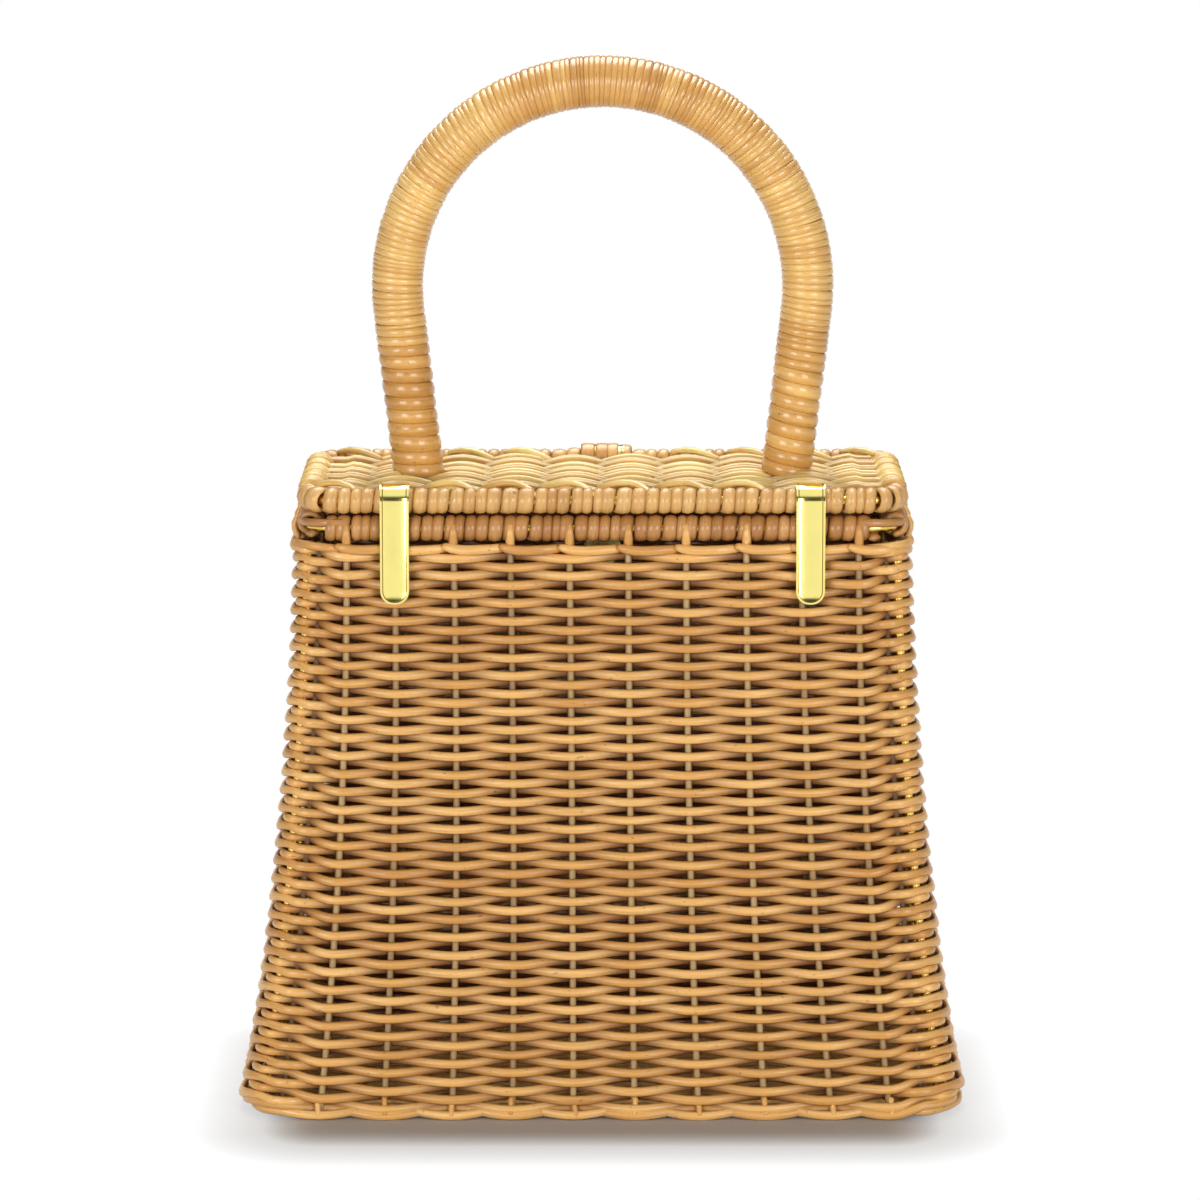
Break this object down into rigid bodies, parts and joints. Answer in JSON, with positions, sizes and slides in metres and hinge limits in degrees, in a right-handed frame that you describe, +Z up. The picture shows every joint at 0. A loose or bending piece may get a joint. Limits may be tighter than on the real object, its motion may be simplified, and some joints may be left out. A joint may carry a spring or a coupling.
{
  "type": "handbag",
  "caption": "Woven rattan box handbag with a flared body, a lid hinged on brass straps and a cane-wrapped arch handle.",
  "frame": {"origin": "on the floor under the middle of the bag", "axes": "+Z up, X along the bag's width, hinge side towards -Y and clasp side towards +Y"},
  "size_m": [0.2306, 0.1096, 0.331],
  "materials": {
    "body_cane": "satin varnish",
    "lid_cane": "satin varnish",
    "handle_cane": "satin varnish",
    "rod": "bare",
    "brass": "polished"
  },
  "bodies": {
    "body": {"body_weave": "body_cane", "mouth_wire": "brass", "corner_posts": "brass", "body_rim_wrap": "lid_cane", "hinge_strap_left": "brass", "hinge_strap_right": "brass", "hinge_rivets": "brass", "hinge_backplate_left": "brass", "hinge_backplate_right": "brass", "clasp_snap_base": "brass", "clasp_backplate": "brass"},
    "lid": {"lid_weave": "lid_cane", "lid_frame_wire": "brass", "lid_rim_wrap": "lid_cane", "handle_core": "rod", "handle_wrap": "handle_cane", "handle_washers": "brass", "handle_screws": "brass", "clasp_tab": "brass", "clasp_snap_cap": "brass"}
  },
  "joints": [
    {"name": "lid_hinge", "type": "hinge", "parent": "body", "child": "lid", "pos_m": [0, -0.0388, 0.196], "axis": [1, 0, 0], "range_deg": [0, 180]}
  ]
}
